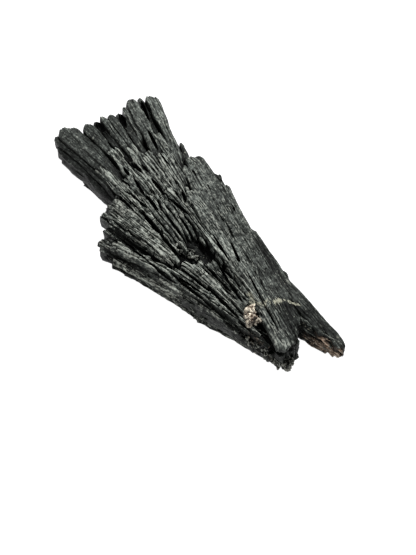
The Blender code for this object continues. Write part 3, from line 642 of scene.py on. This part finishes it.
def growBlade(rng, name, blade, row):
    # the blade's strands, side by side
    front, tail = Vector(blade.front), Vector(blade.tail)
    direction, across = waysOf(front, tail)
    count = blade.strands
    several = count > 1
    width = blade.width / count * blade.fill
    strands = []
    for number in range(count):
        place = (number + 0.5) / count - 0.5
        start = front + across * place * blade.width
        start = start + direction * abs(rng.normal(0.0, fan.frontSpread)) * several
        end = tail + across * place * blade.width * blade.taper
        end = end - direction * rng.uniform(0.0, fan.tailSpread)
        lift = blade.lift - fan.bladeArch * place ** 2 * several
        lift = lift + rng.normal(0.0, fan.liftSpread)
        strands.append(makeStrand(
            rng, f"{name}_{number}", start, end, width, width * blade.taper, lift, blade.depth,
            blade.relief, blade.tone, row))
    return strands


def bladeArea(blade):
    return (Vector(blade.front) - Vector(blade.tail)).length * blade.width


def pickPlace(rng, blades, sizes):
    # a random spot on one of the blades, and the ways along and across it there
    sizes = np.array(sizes)
    blade = blades[rng.choice(len(blades), p=sizes / sizes.sum())]
    along = rng.uniform(*fan.alongBlade)
    side = rng.uniform(-0.5, 0.5)
    front, tail = Vector(blade.front), Vector(blade.tail)
    direction, across = waysOf(front, tail)
    spot = front.lerp(tail, along) + across * side * blade.width * (1 + (blade.taper - 1) * along)
    return blade, spot, direction, across


def shedChips(rng, name, shed):
    # short splinters that lie along the blades
    blades = [blade for key in shed.rows for blade in kyaniteFan[key]]
    sizes = [bladeArea(blade) * blade.relief for blade in blades]
    chips = []
    for number in range(shed.count):
        blade, start, direction, across = pickPlace(rng, blades, sizes)
        length = rng.uniform(*shed.length)
        width = rng.uniform(*shed.width)
        end = start + direction * length + across * rng.normal(0.0, fan.chipTurn) * length
        lift = blade.lift + rng.uniform(*shed.lift)
        tone = blade.tone + rng.normal(0.0, fan.chipTone)
        chips.append(makeStrand(
            rng, f"{name}{number}", start, end, width, width * fan.chipTaper, lift,
            fan.chipDepth, blade.relief, tone, shed.finish))
    return chips


def shingleWall(rng, name, wall):
    # splinters that lie along a side of the fan, one over another
    line = [Vector(point) for point in wall.line]
    runs = np.cumsum([0.0] + [(b - a).length for a, b in zip(line, line[1:])])
    xs, ys = [p.x for p in line], [p.y for p in line]
    splinters = []
    for number in range(wall.count):
        length = min(rng.uniform(*wall.length), runs[-1])
        begin = rng.uniform(0.0, runs[-1] - length)
        ends = [Vector((np.interp(run, runs, xs), np.interp(run, runs, ys)))
                for run in (begin, begin + length)]
        height = wall.low + (wall.high - wall.low) * (number + rng.uniform(0, 1)) / wall.count
        heights = [height + rng.normal(0, fan.splinterTilt) for _ in ends]
        width = rng.uniform(*fan.splinterWidth)
        depth = rng.uniform(*fan.splinterDepth)
        tone = wall.tone + rng.normal(0, fan.splinterTone)
        splinters.append(makeStrand(
            rng, f"{name}_{number}", *ends, width, fan.splinterTail, 0.0, depth,
            fan.splinterRelief, tone, fan.splinterRow, heights))
    return splinters


def hollow(subdivisions, size, fall, along, place):
    # a flattened ball that slopes by fall, lies along a line, and cuts a hollow
    bm = bmesh.new()
    bmesh.ops.create_icosphere(bm, subdivisions=subdivisions, radius=1.0)
    bmesh.ops.scale(bm, vec=size, verts=bm.verts)
    for vert in bm.verts:
        vert.co.z += vert.co.x * fall
    bmesh.ops.rotate(bm, verts=bm.verts, matrix=Matrix.Rotation(along, 3, "Z"))
    bmesh.ops.translate(bm, vec=place, verts=bm.verts)
    return bm


def cutPits(rng, blades):
    # narrow slots along the blades, and some across
    sizes = [bladeArea(blade) for blade in blades]
    pits = []
    for number in range(fan.pits):
        blade, middle, direction, _ = pickPlace(rng, blades, sizes)
        long, wide, deep = (rng.uniform(*limits) for limits in (fan.pitLength, fan.pitWidth, fan.pitDepth))
        crosses = rng.random() < fan.crossPits
        long *= 1 - fan.crossShorter * crosses
        turn = np.arctan2(direction.y, direction.x) + crosses * rng.uniform(*fan.crossTurn)
        place = (*middle, roof(*middle) + blade.lift)
        bm = hollow(1, (long / 2, wide / 2, deep), 0.0, turn, place)
        bmesh.ops.scale(bm, vec=(mm, mm, mm), verts=bm.verts)
        mesh = meshFrom(bm, "pit")
        addMaps(mesh)
        pits.append(show(f"pit{number}", mesh))
    return growTogether(pits)


def cutCracks():
    # long cracks between blades that have grown apart
    cracks = []
    for number, crack in enumerate(fan.cracks):
        start, end = Vector(crack.start), Vector(crack.end)
        middle = (start + end) / 2
        along = end - start
        fall = (roof(end.x, end.y) - roof(start.x, start.y)) / along.length
        bm = hollow(2, (along.length / 2, crack.width / 2, crack.depth), fall,
                    np.arctan2(along.y, along.x), (*middle, roof(*middle) + crack.lift))
        cracks.append(addLoose(bm, f"crack{number}"))
    return growTogether(cracks)


def addLoose(bm, name):
    # a shape in millimetres, with the maps that the strands have
    bmesh.ops.scale(bm, vec=(mm, mm, mm), verts=bm.verts)
    for layer, size in (("grain", 1 / mm), ("tint", 0.0), ("wear", 0.0)):
        uv = bm.loops.layers.uv.new(layer)
        for face in bm.faces:
            for loop in face.loops:
                loop[uv].uv = (loop.vert.co.y * size, (loop.vert.co.x + loop.vert.co.z) * size)
    return show(name, meshFrom(bm, name))


# A broken lump is a ball with flats knocked off it, pushed in and out by waves, which are given as
# how fine and how strong.
crag = SimpleNamespace(
    radius=1.25, flats=14, flatReach=(0.6, 0.95), waves=((1.6, 1), (4, 0.6), (9, 0.4)),
    noiseSpread=50, lowest=0.05, streak=1.5)


def craggyLump(rng, name, place, size, rough, tone, subdivisions=3):
    bm = bmesh.new()
    bmesh.ops.create_icosphere(bm, subdivisions=subdivisions, radius=crag.radius)
    for way in rng.normal(0, 1, (crag.flats, 3)):
        way = Vector(way).normalized()
        reach = rng.uniform(*crag.flatReach)
        for vert in bm.verts:
            vert.co -= way * max(0.0, vert.co.dot(way) - reach)
    seat = Vector(rng.uniform(0, crag.noiseSpread, 3))
    for vert in bm.verts:
        push = sum(noise.noise(vert.co * scale + seat) * part for scale, part in crag.waves)
        vert.co *= 1 + rough * push
    turns = rng.uniform(0, 2 * pi, 3)
    bmesh.ops.scale(bm, vec=size, verts=bm.verts)
    for turn, axis in zip(turns, "XYZ"):
        bmesh.ops.rotate(bm, verts=bm.verts, matrix=Matrix.Rotation(turn, 3, axis))
    bmesh.ops.translate(bm, vec=place, verts=bm.verts)
    for vert in bm.verts:
        vert.co.z = max(vert.co.z, crag.lowest)
    lump = addLoose(bm, name)
    corners = len(lump.data.loops)
    fillMap(lump.data, "tint", np.tile((tone, 1.0), corners))
    fillMap(lump.data, "wear", np.full(corners * 2, crag.streak))
    return lump


def breakRocks():
    # rocky, broken lumps
    lumps = []
    for bedNumber, bed in enumerate(fan.beds):
        rng = dice(4, bedNumber)
        start, end = Vector(bed.start), Vector(bed.end)
        for number in range(bed.count):
            spot = start.lerp(end, rng.uniform(0, 1)) + Vector(rng.uniform(-1, 1, 2)) * bed.spread
            place = (*spot, rng.uniform(bed.low, bed.high))
            size = rng.uniform(*bed.size, 3) * fan.rockShape
            name = f"rock{bedNumber}_{number}"
            lumps.append(craggyLump(rng, name, place, size, fan.rockRough, bed.tone, 2))
    return lumps


def combine(pairs, operation):
    # joins the second of each pair to the first, or cuts it out
    for first, second in pairs:
        solid = first.modifiers.new("solid", "BOOLEAN")
        solid.operation = operation
        solid.object = second
        solid.solver = "MANIFOLD"
    graph = bpy.context.evaluated_depsgraph_get()
    meshes = [bpy.data.meshes.new_from_object(first.evaluated_get(graph)) for first, _ in pairs]
    for (first, second), mesh in zip(pairs, meshes):
        first.modifiers.clear()
        first.data = mesh
        bpy.data.objects.remove(second)


def growTogether(things):
    # joins them in pairs, then the pairs, until one closed solid is left
    while len(things) > 1:
        pairs = list(zip(things[::2], things[1::2]))
        combine(pairs, "UNION")
        things = [first for first, _ in pairs] + things[len(pairs) * 2:]
    return things[0]


def dropLooseShells(mesh):
    # keeps the largest shell
    bm = bmesh.new()
    bm.from_mesh(mesh)
    left, shells = set(bm.verts), []
    while left:
        shell = [left.pop()]
        for vert in shell:
            near = left & {edge.other_vert(vert) for edge in vert.link_edges}
            left -= near
            shell += near
        shells.append(shell)
    shells.sort(key=len)
    loose = [vert for shell in shells[:-1] for vert in shell]
    bmesh.ops.delete(bm, geom=loose, context="VERTS")
    bm.to_mesh(mesh)
    bm.free()
    print("loose shells dropped", len(shells) - 1)


def measureExposure(mesh, rays, reach, skyShare=0.92, rayGap=0.03):
    # how much of the sky each vertex sees, from 0 to 1
    places = readVertices(mesh, "co") / mm
    tree = BVHTree.FromPolygons(places.tolist(), [tuple(p.vertices) for p in mesh.polygons])
    golden = pi * (3 - 5 ** 0.5)
    sky = []
    for number in range(rays):
        up = 1 - (number + 0.5) / rays * skyShare
        flat = (1 - up * up) ** 0.5
        sky.append(Vector((flat * cos(number * golden), flat * sin(number * golden), up)))
    starts = places + readVertices(mesh, "normal") * rayGap
    exposure = np.zeros(len(places))
    for index, start in enumerate(starts.tolist()):
        start = Vector(start)
        exposure[index] = sum(tree.ray_cast(start, way, reach)[0] is None for way in sky) / rays
    keepValues(mesh, "exposure", exposure)


def measureEdges(mesh, reach, shortest=0.05):
    # how far each vertex stands out from its neighbours, from -1 to 1
    places, normals = readVertices(mesh, "co") / mm, readVertices(mesh, "normal")
    ends = np.empty(len(mesh.edges) * 2, dtype=np.int32)
    mesh.edges.foreach_get("vertices", ends)
    first, second = ends.reshape(-1, 2).T
    step = places[second] - places[first]
    length = np.maximum(np.linalg.norm(step, axis=1), 1e-4)
    weight = 1 / np.maximum(length, shortest)
    total, sums = np.zeros(len(places)), np.zeros(len(places))
    for start, way in ((first, step), (second, -step)):
        np.add.at(sums, start, -(way * normals[start]).sum(axis=1) / length * weight)
        np.add.at(total, start, weight)
    keepValues(mesh, "edges", np.clip(sums / total / reach, -1.0, 1.0))


def paint(mesh, name, stains, core=1.5, most=1.5):
    # how strongly each vertex is stained; rows that darken what lies deep below the roof paint shade
    places = readVertices(mesh, "co") / mm
    spots = places[:, :2]
    below = roof(places[:, 0], places[:, 1]) - places[:, 2]
    amount = np.zeros(len(places))
    for stain in stains:
        start, end = np.array(stain.start), np.array(stain.end)
        along = end - start
        part = np.clip(((spots - start) @ along) / (along @ along), 0, 1)
        away = np.linalg.norm(spots - start - part[:, None] * along, axis=1)
        deep = (below > stain.below) & (below < stain.deepest)
        amount += stain.strength * np.clip(core - core * away / stain.reach, 0, 1) * deep
    keepValues(mesh, name, np.minimum(amount, most))


def cover(piece, material):
    piece.data.materials.clear()
    piece.data.materials.append(material)


def kyaniteMaterial():
    material, shader, ink = newMaterial("kyanite")
    wires = ink.vertexValues("exposure", "edges", "pale", "crust", "brown")
    tone, wires["ends"], _ = ink.uvMap("tint").numbers()
    wires["wear"] = ink.uvMap("wear").numbers()[0]
    wires["tone"] = tone + wires["pale"] * fan.paleShade
    grain = ink.uvMap("grain")
    for name, (across, along, detail, roughness) in fan.strandNoises.items():
        wires[name] = grain.stretched(across, along, 1).grain(detail, roughness)
    place = ink.inMillimetres()
    for name, values in fan.placeNoises.items():
        wires[name] = place.grain(*values)
    speck, brown = wires["speck"], wires["brown"]
    # the shade level drops where little sky is seen, as painted shade in gaps and recesses, and rises on
    # convex edges, as edge wear and painted highlight
    shade = (2.0 ** addUp(wires, fan.shadeFrom)) * fan.shade
    rust = addUp(wires, fan.rustFrom, brown).ramp(*fan.rustRamp)
    rust = rust * brown.ramp(*fan.rustWithin)
    hue = ink.node("ShaderNodeMix", {"data_type": "RGBA"}, {0: rust, 6: fan.hue, 7: fan.rustHue}, 2)
    colour = (shade / (shade + 1.0)).tinted(hue)
    # dust flecks that also serve as painted glints, most on open tops and edges
    dustAndGlint = addUp(wires, fan.dustFrom).ramp(*fan.dustRamp)
    colour = colour.mixed(dustAndGlint * fan.dustCover, fan.dustColour)
    lime = addUp(wires, fan.limeFrom, wires["crust"]).ramp(*fan.limeRamp)
    colour = colour.mixed(lime * fan.limeCover, fan.limeColour)
    rough = fan.roughness + (speck - 0.5) * fan.roughSpeck + dustAndGlint * fan.roughDust
    streaks = wires["streak"] * wires["wear"] * fan.bumpStreak
    bump = ink.node("ShaderNodeBump", {}, {
        "Height": addUp(wires, fan.bumpFrom, streaks), "Strength": 1.0,
        "Distance": fan.bumpHeight * mm})
    plug(colour, shader, "Base Color")
    plug(rough, shader, "Roughness")
    plug(bump, shader, "Normal")
    shader.inputs["Specular IOR Level"].default_value = fan.specular
    return material


def makeFan():
    strands = []
    for rowNumber, (key, row) in enumerate(fan.rows.items()):
        for number, blade in enumerate(kyaniteFan[key]):
            strands += growBlade(dice(0, rowNumber, number), f"{key}{number}", blade, row)
    for number, wall in enumerate(fan.walls):
        strands += shingleWall(dice(1, number), f"wall{number}", wall)
    strands += shedChips(dice(2), "flake", fan.flakes)
    strands += shedChips(dice(3), "block", fan.blocks)
    strands += breakRocks()
    print("strands", len(strands))
    piece = growTogether(strands)
    pitted = [blade for key in mainRows for blade in kyaniteFan[key]]
    combine([(piece, cutPits(dice(5), pitted))], "DIFFERENCE")
    combine([(piece, cutCracks())], "DIFFERENCE")
    piece.name = "kyaniteFan"
    mesh = piece.data
    dropLooseShells(mesh)
    print("grown together", len(mesh.polygons), "faces")
    mesh.polygons.foreach_set("use_smooth", np.ones(len(mesh.polygons), dtype=bool))
    mesh.set_sharp_from_angle(angle=radians(fan.sharpAngle))
    measureExposure(mesh, fan.skyRays, fan.skyReach)
    measureEdges(mesh, fan.edgeStep)
    for stains in ("pale", "crust", "brown"):
        paint(mesh, stains, kyaniteFan[stains])
    print("exposure, edges and stains measured")
    cover(piece, kyaniteMaterial())
    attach(piece, "root")
    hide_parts("kyanite_fan")


# A crumb of matrix lies on the root: a few grains grown together, cream with brown.
matrixCrumb = {
    "seed": 4, "rough": 0.45, "holeRough": 0.3,
    "grains": [  # place and size
        ((23.2, -2.1, 10), (1.3, 1.15, 1)), ((21.9, -1.4, 10), (0.9, 0.6, 0.75)),
        ((24.1, -3.7, 9.8), (0.8, 0.75, 0.75)), ((25, -1.8, 9.9), (0.75, 0.6, 0.65)),
        ((24.4, -2.8, 9.9), (0.75, 0.8, 0.7)), ((22.5, -2.6, 9.9), (0.7, 0.6, 0.7)),
        ((24, -2.7, 10), (1, 1.2, 0.9)),
    ],
    "hole": ((23.9, -1.9, 10.9), (0.5, 0.5, 1.1)),
    "brown": table(Stain, [
        (22, -1.6, 22.3, -1.8, 0.7, 1), (23.1, -3, 23.6, -2.5, 0.6, 1),
        # the last row browns the hole: a stain, and painted shade there too
        (24.6, -2.3, 24.2, -3, 0.6, 1), (23.7, -1.8, 23.7, -1.7, 0.5, 1.4),
    ]),
    "blotch": (2, 0.6, 1.2), "speck": (3, 0.7, 2.6), "skyRays": 16, "skyReach": 2,
    # the shade falls where the crumb sees little sky: painted shade
    "shadeFrom": dict(speck=(0.5, 5), exposure=(0.8, 5)),
    "shade": 0.58,
    "cream": (1, 0.9, 0.72),
    "brownFrom": dict(speck=(0, 0.6), brown=(0, 0.22), exposure=(0.8, -0.4)),
    "brownRamp": (0.82, 1.02), "brownCover": 0.85, "brownColour": (0.13, 0.082, 0.052, 1),
    # near black where the crumb sees little sky, as in its hole: painted shade
    "holeRamp": (0.3, 0.75), "holeColour": (0.006, 0.004, 0.003, 1),
    "roughness": 0.3, "roughSpeck": 0.6, "bumpStrength": 0.8, "bumpHeight": 0.2,
}
crumb = SimpleNamespace(**matrixCrumb)


def crumbMaterial():
    material, shader, ink = newMaterial("matrix")
    place = ink.inMillimetres()
    blotch = place.grain(*crumb.blotch)
    speck = place.grain(*crumb.speck)
    wires = {"speck": speck, **ink.vertexValues("exposure", "brown")}
    # the shade level drops where little sky is seen: painted shade
    shade = (2.0 ** addUp(wires, crumb.shadeFrom)) * crumb.shade
    colour = shade.tinted(crumb.cream)
    stain = addUp(wires, crumb.brownFrom, blotch).ramp(*crumb.brownRamp)
    colour = colour.mixed(stain * crumb.brownCover, crumb.brownColour)
    # painted shade: near black where little sky is seen, as in the hole
    colour = colour.mixed(1.0 - wires["exposure"].ramp(*crumb.holeRamp), crumb.holeColour)
    bump = ink.node("ShaderNodeBump", {}, {
        "Height": speck, "Strength": crumb.bumpStrength, "Distance": crumb.bumpHeight * mm})
    plug(colour, shader, "Base Color")
    plug(crumb.roughness + (speck - 0.5) * crumb.roughSpeck, shader, "Roughness")
    plug(bump, shader, "Normal")
    return material


def makeCrumb():
    rng = np.random.default_rng(crumb.seed)
    grains = [craggyLump(rng, f"grain{number}", place, np.array(size), crumb.rough, 0.0, 4)
              for number, (place, size) in enumerate(crumb.grains)]
    piece = growTogether(grains)
    place, size = crumb.hole
    hole = craggyLump(rng, "hole", place, np.array(size), crumb.holeRough, 0.0)
    combine([(piece, hole)], "DIFFERENCE")
    piece.name = "matrixCrumb"
    dropLooseShells(piece.data)
    measureExposure(piece.data, crumb.skyRays, crumb.skyReach)
    paint(piece.data, "brown", crumb.brown)
    cover(piece, crumbMaterial())
    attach(piece, "root")
    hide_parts("matrix_crumb")


# The floor's side and the lamps are in metres.
studio = {
    "floorSide": 3,
    "floorColour": (0.3, 0.3, 0.3, 1), "floorRoughness": 0.9, "floorGlow": 0.95,
    "lamps": {  # place, size and power
        "key": ((-0.25, 0.35, 0.75), 0.35, 9),
        "fill": ((0.55, -0.45, 0.45), 0.5, 1.2),
    },
    "sky": 0.45,
    "azimuth": 53, "elevation": 60,
    "aim": (8.9, -1.8, 4),
    "distance": 262.08, "lens": 85, "clipStart": 10,
}


def makeFloor():
    bm = bmesh.new()
    bmesh.ops.create_grid(bm, x_segments=1, y_segments=1, size=studio["floorSide"] / 2)
    floor = show("floor", meshFrom(bm, "floor"))
    material, shader, _ = newMaterial("floor")
    values = {"Base Color": studio["floorColour"], "Roughness": studio["floorRoughness"],
              "Specular IOR Level": 0.0, "Emission Color": (1, 1, 1, 1),
              "Emission Strength": studio["floorGlow"]}
    for name, value in values.items():
        shader.inputs[name].default_value = value
    cover(floor, material)


def makeLamps():
    for name, (place, size, power) in studio["lamps"].items():
        data = bpy.data.lights.new(name, "AREA")
        data.shape = "DISK"
        data.size = size
        data.energy = power
        light = show(name, data)
        light.location = place
        light.rotation_euler = Vector(place).to_track_quat("Z", "Y").to_euler()


def makeStudio():
    makeFloor()
    makeLamps()
    scene = bpy.context.scene
    scene.world = bpy.data.worlds.new("studio")
    scene.world.use_nodes = True
    background = scene.world.node_tree.nodes["Background"]
    background.inputs["Color"].default_value = (1, 1, 1, 1)
    background.inputs["Strength"].default_value = studio["sky"]
    scene.view_settings.view_transform = "Standard"
    a, e = radians(studio["azimuth"]), radians(studio["elevation"])
    back = Vector((sin(a) * cos(e), -cos(a) * cos(e), sin(e)))
    camera = show("camera", bpy.data.cameras.new("camera"))
    camera.data.lens = studio["lens"]
    camera.data.clip_start = studio["clipStart"] * mm
    camera.location = (Vector(studio["aim"]) + back * studio["distance"]) * mm
    camera.rotation_euler = back.to_track_quat("Z", "Y").to_euler()
    scene.camera = camera


makeFan()
makeCrumb()
print("crumb made")
makeStudio()
print("studio lit")
